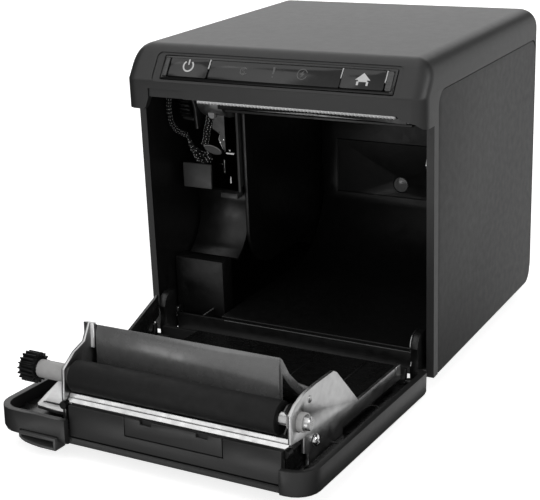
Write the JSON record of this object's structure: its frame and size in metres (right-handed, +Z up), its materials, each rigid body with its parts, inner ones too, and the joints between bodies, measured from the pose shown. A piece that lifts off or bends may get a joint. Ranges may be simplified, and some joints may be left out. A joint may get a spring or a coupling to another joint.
{
  "type": "receipt printer",
  "caption": "Cube-shaped thermal receipt printer with its front door open on a hinge, platen roller and gear on the door, roll bay, cutter, keys and rear ports.",
  "frame": {"origin": "middle of the underside of the box round the whole printer with its door open, on the surface it stands on", "axes": "+X to the printer's right as its user sees it, +Y from the door to the rear ports, +Z up"},
  "size_m": [0.127, 0.2298, 0.128],
  "materials": {
    "case_black": "fine matt grain",
    "panel_black": "fine matt grain",
    "door_black": "satin",
    "inner_black": "semi-gloss",
    "gloss_black": "piano gloss",
    "cap_grey": "ribbed satin",
    "rubber": "matt",
    "lever_grey": "satin",
    "gear_black": "satin",
    "bush_grey": "natural acetal, satin",
    "steel": "bright zinc, brushed",
    "aluminium": "satin",
    "board_green": "solder mask",
    "ceramic": "glazed",
    "braid": "braided sleeve",
    "lens": "moulded lens",
    "port_black": "moulded, semi-gloss"
  },
  "bodies": {
    "case": {"top_cover": "case_black", "side_panel_left": "panel_black", "side_panel_right": "panel_black", "rear_cover": "panel_black", "base_plate": "panel_black", "roll_bucket": "inner_black", "roll_partition": "inner_black", "drive_cover": "inner_black", "gear_cover_box": "inner_black", "hinge_arm_left": "inner_black", "hinge_arm_right": "inner_black", "control_bezel": "gloss_black", "indicator_window": "gloss_black", "end_cap_left": "cap_grey", "end_cap_right": "cap_grey", "head_bracket": "cap_grey", "latch_plate": "cap_grey", "foot_front_left": "rubber", "foot_front_right": "rubber", "foot_rear_left": "rubber", "foot_rear_right": "rubber", "cutter_housing": "gear_black", "mechanism_frame": "steel", "tear_bar": "steel", "head_spring_left": "steel", "head_spring_right": "steel", "gear_side_plate": "steel", "latch_spring_right": "steel", "head_heat_sink": "aluminium", "cutter_motor": "aluminium", "feed_motor": "aluminium", "control_board": "board_green", "main_board": "board_green", "thermal_head": "ceramic", "wire_harness": "braid", "paper_sensor": "lens", "usb_port": "port_black", "lan_port": "port_black", "power_inlet": "port_black"},
    "door": {"door_shell": "door_black", "door_liner": "inner_black", "exit_lip": "door_black", "exit_insert": "door_black", "platen_bracket": "steel", "paper_guide": "gloss_black", "fixed_blade": "steel", "arm_screw_right": "steel", "bush_left": "bush_grey", "bush_right": "bush_grey", "hinge_pin_left": "steel", "hinge_pin_right": "steel"},
    "platen": {"platen_shaft": "steel", "platen_rubber": "rubber", "platen_gear": "gear_black"},
    "cover_lever": {"cover_lever": "lever_grey"},
    "power_button": {"power_button": "gloss_black"},
    "feed_button": {"feed_button": "gloss_black"},
    "cutter": {"cutter_blade": "steel"},
    "idler": {"idler_gear": "gear_black"},
    "pinion": {"motor_pinion": "steel"}
  },
  "joints": [
    {"name": "door_hinge", "type": "hinge", "parent": "case", "child": "door", "pos_m": [0, -0.01454, 0.004], "axis": [-1, 0, 0], "range_deg": [0, 87.13]},
    {"name": "platen_spin", "type": "hinge", "parent": "door", "child": "platen", "pos_m": [0, -0.10099, 0.02716], "axis": [1, 0, 0], "continuous": true},
    {"name": "lever_pull", "type": "hinge", "parent": "door", "child": "cover_lever", "pos_m": [-0.043, -0.11012, 0.00679], "axis": [1, 0, 0], "range_deg": [0, 12], "stiffness_Nm_per_rad": 0.06},
    {"name": "power_button_press", "type": "slide", "parent": "case", "child": "power_button", "axis": [0, 0.8192, -0.5736], "range_m": [0, 0.0008], "stiffness_N_per_m": 400},
    {"name": "feed_button_press", "type": "slide", "parent": "case", "child": "feed_button", "axis": [0, 0.8192, -0.5736], "range_m": [0, 0.0008], "stiffness_N_per_m": 400},
    {"name": "cutter_stroke", "type": "slide", "parent": "case", "child": "cutter", "axis": [0, 0, -1], "range_m": [0, 0.006]},
    {"name": "idler_spin", "type": "hinge", "parent": "case", "child": "idler", "pos_m": [-0.053, 0.01481, 0.09862], "axis": [1, 0, 0], "continuous": true},
    {"name": "pinion_spin", "type": "hinge", "parent": "case", "child": "pinion", "pos_m": [-0.053, 0.02247, 0.10461], "axis": [1, 0, 0], "continuous": true}
  ],
  "couplings": [
    {"joint": "idler_spin", "follows": "pinion_spin", "ratio": -0.54546}
  ]
}
